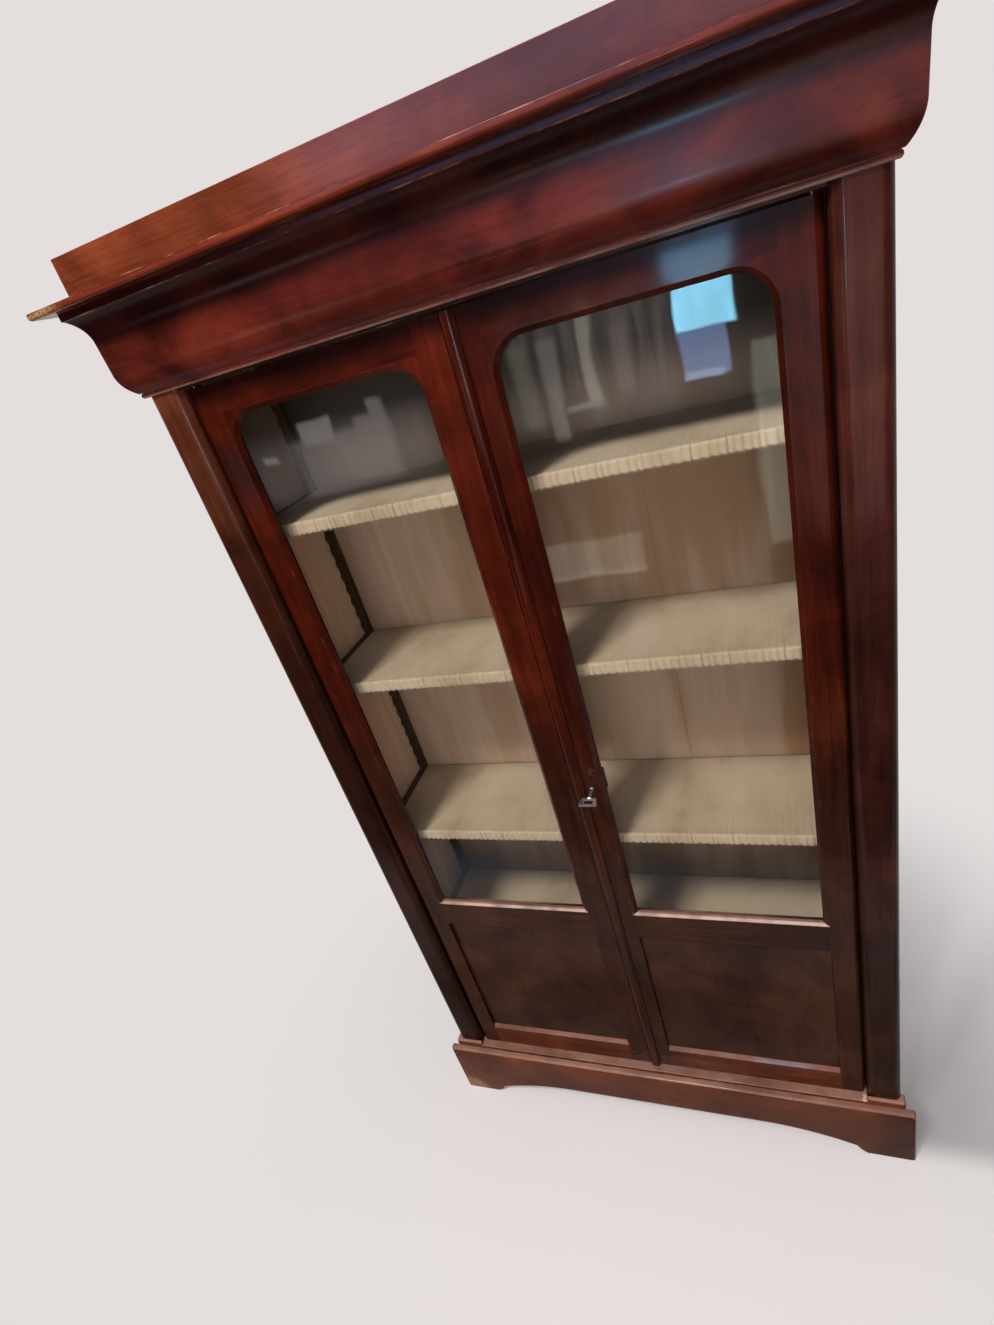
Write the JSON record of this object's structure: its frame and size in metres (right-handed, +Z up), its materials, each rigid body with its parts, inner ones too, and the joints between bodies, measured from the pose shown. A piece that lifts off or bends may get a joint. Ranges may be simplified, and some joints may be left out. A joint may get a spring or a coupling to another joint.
{
  "type": "display cabinet",
  "caption": "Tall glazed wooden display cabinet with ogee cornice, shaped plinth, panelled lower doors, corner stiles, adjustable shelves with pleated cloth linings, lock and key.",
  "frame": {"origin": "centre of the bounding box at floor level", "axes": "+Z up, the doors face -Y, +X to the right seen from the front"},
  "size_m": [1.298, 0.397, 2.283],
  "materials": {
    "mahogany": "French-polished mahogany",
    "inner_wood": "waxed boards inside",
    "back_wood": "plain aged boards",
    "cloth": "cream pleated cotton",
    "brass": "aged brass",
    "steel": "dull worn steel",
    "glass": "clear window glass"
  },
  "bodies": {
    "root": {"attic_front": "mahogany", "attic_sides": "mahogany", "back_board_left": "back_wood", "back_board_middle": "back_wood", "back_board_right": "back_wood", "base_beads": "mahogany", "bottom_board": "inner_wood", "cornice_cap": "mahogany", "cornice_front": "mahogany", "cornice_left": "mahogany", "cornice_right": "mahogany", "dust_strips": "mahogany", "head_rail": "mahogany", "plinth_front": "mahogany", "plinth_rails": "inner_wood", "plinth_sides": "mahogany", "shelf_1": "inner_wood", "shelf_2": "inner_wood", "shelf_3": "inner_wood", "shelf_4": "inner_wood", "shelf_bearers": "inner_wood", "shelf_lining_1": "cloth", "shelf_lining_2": "cloth", "shelf_lining_3": "cloth", "shelf_lining_4": "cloth", "shelf_racks": "inner_wood", "side_left": "mahogany", "side_right": "mahogany", "sill_rail": "mahogany", "stile_left": "mahogany", "stile_right": "mahogany", "top_board": "inner_wood"},
    "left_door": {"left_door_bottom_rail": "mahogany", "left_door_glass": "glass", "left_door_glass_beads": "mahogany", "left_door_hinge_stile": "mahogany", "left_door_meeting_stile": "mahogany", "left_door_mid_rail": "mahogany", "left_door_panel": "mahogany", "left_door_pivots": "brass", "left_door_sight_frame": "mahogany", "left_door_top_rail": "mahogany", "slide_bolt_covers": "brass"},
    "right_door": {"right_door_astragal": "mahogany", "right_door_bottom_rail": "mahogany", "right_door_glass": "glass", "right_door_glass_beads": "mahogany", "right_door_hinge_stile": "mahogany", "right_door_meeting_stile": "mahogany", "right_door_mid_rail": "mahogany", "right_door_panel": "mahogany", "right_door_pivots": "brass", "right_door_sight_frame": "mahogany", "right_door_top_rail": "mahogany", "lock_case": "steel", "keyhole_plate": "steel"},
    "key": {"key": "steel"},
    "lock_bolt": {"lock_bolt": "steel"},
    "slide_bolt_top": {"slide_bolt_top": "brass"},
    "slide_bolt_bottom": {"slide_bolt_bottom": "brass"}
  },
  "joints": [
    {"name": "left_door_swing", "type": "hinge", "parent": "root", "child": "left_door", "pos_m": [-0.485, -0.0955, 0.2], "axis": [0, 0, -1], "range_deg": [0, 90]},
    {"name": "right_door_swing", "type": "hinge", "parent": "root", "child": "right_door", "pos_m": [0.485, -0.0955, 0.2], "axis": [0, 0, 1], "range_deg": [0, 90]},
    {"name": "key_turn", "type": "hinge", "parent": "right_door", "child": "key", "pos_m": [0.0305, -0.1075, 1.155], "axis": [0, 1, 0], "range_deg": [0, 360]},
    {"name": "lock_bolt_slide", "type": "slide", "parent": "right_door", "child": "lock_bolt", "axis": [-1, 0, 0], "range_m": [0, 0.012]},
    {"name": "top_bolt_slide", "type": "slide", "parent": "left_door", "child": "slide_bolt_top", "axis": [0, 0, 1], "range_m": [0, 0.011]},
    {"name": "bottom_bolt_slide", "type": "slide", "parent": "left_door", "child": "slide_bolt_bottom", "axis": [0, 0, -1], "range_m": [0, 0.011]}
  ],
  "couplings": [
    {"joint": "lock_bolt_slide", "follows": "key_turn", "m_per_rad": 0.0019098}
  ]
}
